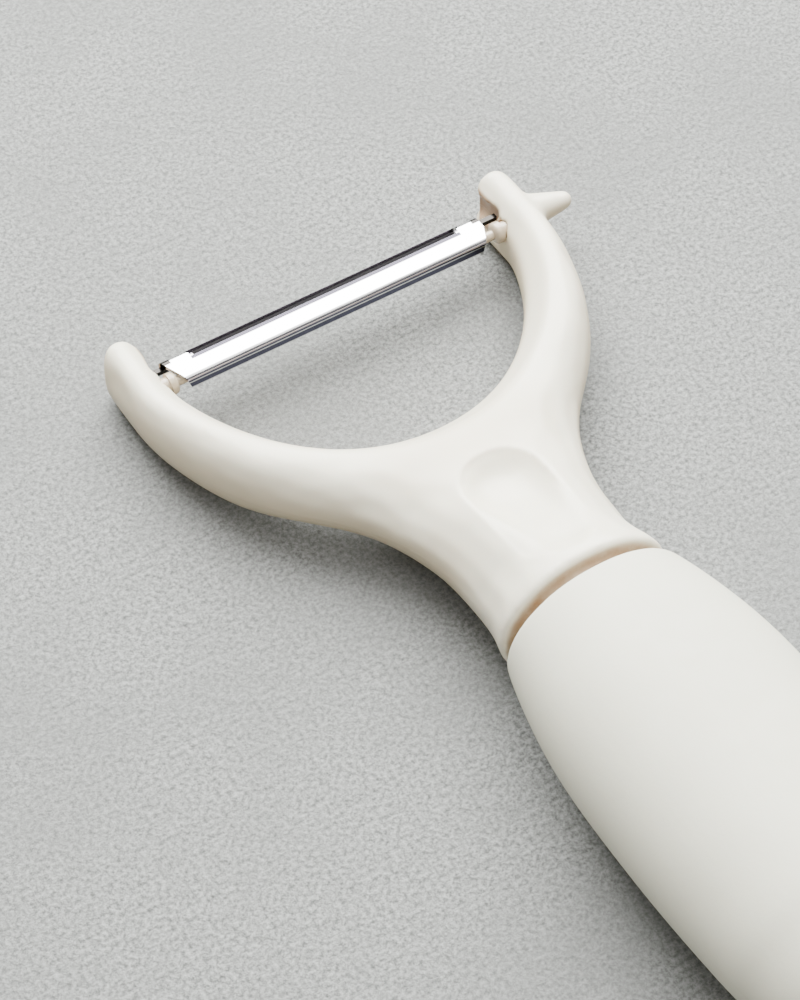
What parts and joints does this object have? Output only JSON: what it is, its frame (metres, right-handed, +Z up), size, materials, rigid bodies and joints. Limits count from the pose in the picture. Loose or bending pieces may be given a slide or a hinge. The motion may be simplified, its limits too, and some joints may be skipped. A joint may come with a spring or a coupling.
{
  "type": "vegetable peeler",
  "caption": "Y-shaped vegetable peeler with a swivelling slotted blade between the arms, an eye remover, a thumb rest and a rounded handle with a hanging hole.",
  "frame": {"origin": "middle of the flat under the handle's belly, on the table plane", "axes": "+Z up, +Y from the handle towards the blade, +X towards the eye remover"},
  "size_m": [0.077, 0.1574, 0.0301],
  "materials": {
    "head_plastic": "satin white",
    "core_plastic": "matt white",
    "grip_skin": "soft-touch warm white",
    "blade_steel": "polished",
    "pin_steel": "plain",
    "bush_plastic": "glossy ivory"
  },
  "bodies": {
    "tool": {"head_frame": "head_plastic", "handle_core": "core_plastic", "handle_grip": "grip_skin", "tang_pin": "pin_steel", "pivot_bush_left": "bush_plastic", "pivot_bush_right": "bush_plastic"},
    "blade": {"blade": "blade_steel", "pivot_pin_left": "pin_steel", "pivot_pin_right": "pin_steel"}
  },
  "joints": [
    {"name": "blade_swivel", "type": "hinge", "parent": "tool", "child": "blade", "pos_m": [0, 0.0882, 0.0075], "axis": [1, 0, 0], "range_deg": [-20, 20]}
  ]
}
